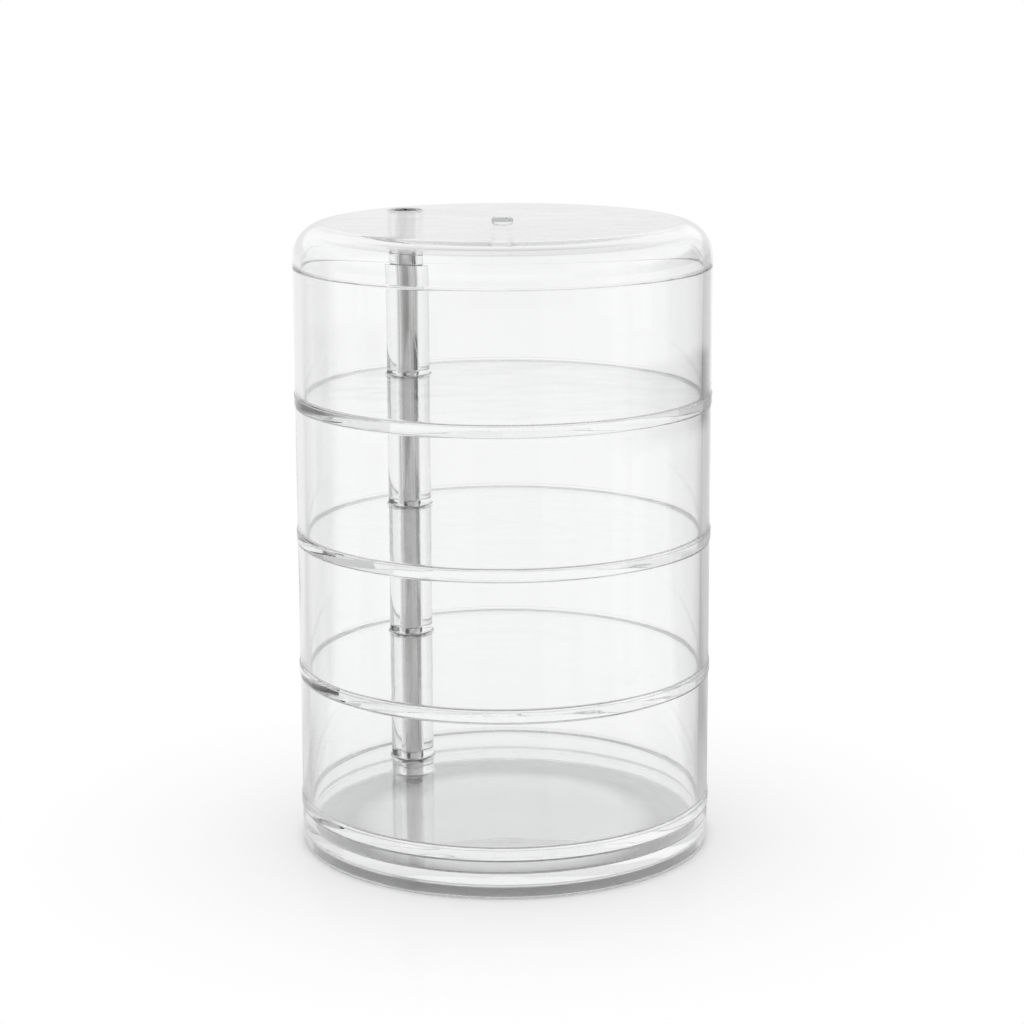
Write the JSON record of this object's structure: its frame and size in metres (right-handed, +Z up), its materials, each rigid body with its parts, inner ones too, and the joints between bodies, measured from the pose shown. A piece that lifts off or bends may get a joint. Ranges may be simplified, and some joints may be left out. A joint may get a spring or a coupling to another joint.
{
  "type": "swivel cosmetic organizer",
  "caption": "Clear round cosmetic and jewellery organizer: stacked open cups under a rounded lid, which all swivel on one steel rod above a low foot.",
  "frame": {"origin": "centre of the foot's underside, on the surface that it stands on", "axes": "+Z up through the stack, -Y to the front that the picture shows, +Y to the rear; the rod is at the rear left"},
  "size_m": [0.1106, 0.1106, 0.1682],
  "materials": {
    "clear_plastic": "polished clear polystyrene",
    "polished_steel": "bright polished steel rod",
    "screw_steel": "black-oxide steel screw with fine turning marks on its head",
    "clear_nylon": "thin translucent washer",
    "plated_steel": "zinc-plated steel"
  },
  "bodies": {
    "base": {"base": "clear_plastic", "pivot_rod": "polished_steel", "top_screw": "screw_steel", "bottom_screw": "screw_steel", "bottom_flat_washer": "plated_steel", "bottom_spring_washer": "plated_steel", "slip_washer_1": "clear_nylon"},
    "tray_1": {"tray_1": "clear_plastic", "slip_washer_2": "clear_nylon"},
    "tray_2": {"tray_2": "clear_plastic", "slip_washer_3": "clear_nylon"},
    "tray_3": {"tray_3": "clear_plastic", "slip_washer_4": "clear_nylon"},
    "tray_4": {"tray_4": "clear_plastic", "slip_washer_5": "clear_nylon"},
    "lid": {"lid": "clear_plastic", "top_washer": "clear_nylon"}
  },
  "joints": [
    {"name": "tray_1_swivel", "type": "hinge", "parent": "base", "child": "tray_1", "pos_m": [-0.02651, 0.02996, 0.0287], "axis": [0, 0, 1], "continuous": true},
    {"name": "tray_2_swivel", "type": "hinge", "parent": "base", "child": "tray_2", "pos_m": [-0.02651, 0.02996, 0.0651], "axis": [0, 0, 1], "continuous": true},
    {"name": "tray_3_swivel", "type": "hinge", "parent": "base", "child": "tray_3", "pos_m": [-0.02651, 0.02996, 0.1015], "axis": [0, 0, 1], "continuous": true},
    {"name": "tray_4_swivel", "type": "hinge", "parent": "base", "child": "tray_4", "pos_m": [-0.02651, 0.02996, 0.1379], "axis": [0, 0, 1], "continuous": true},
    {"name": "lid_swivel", "type": "hinge", "parent": "base", "child": "lid", "pos_m": [-0.02651, 0.02996, 0.16155], "axis": [0, 0, 1], "continuous": true}
  ]
}
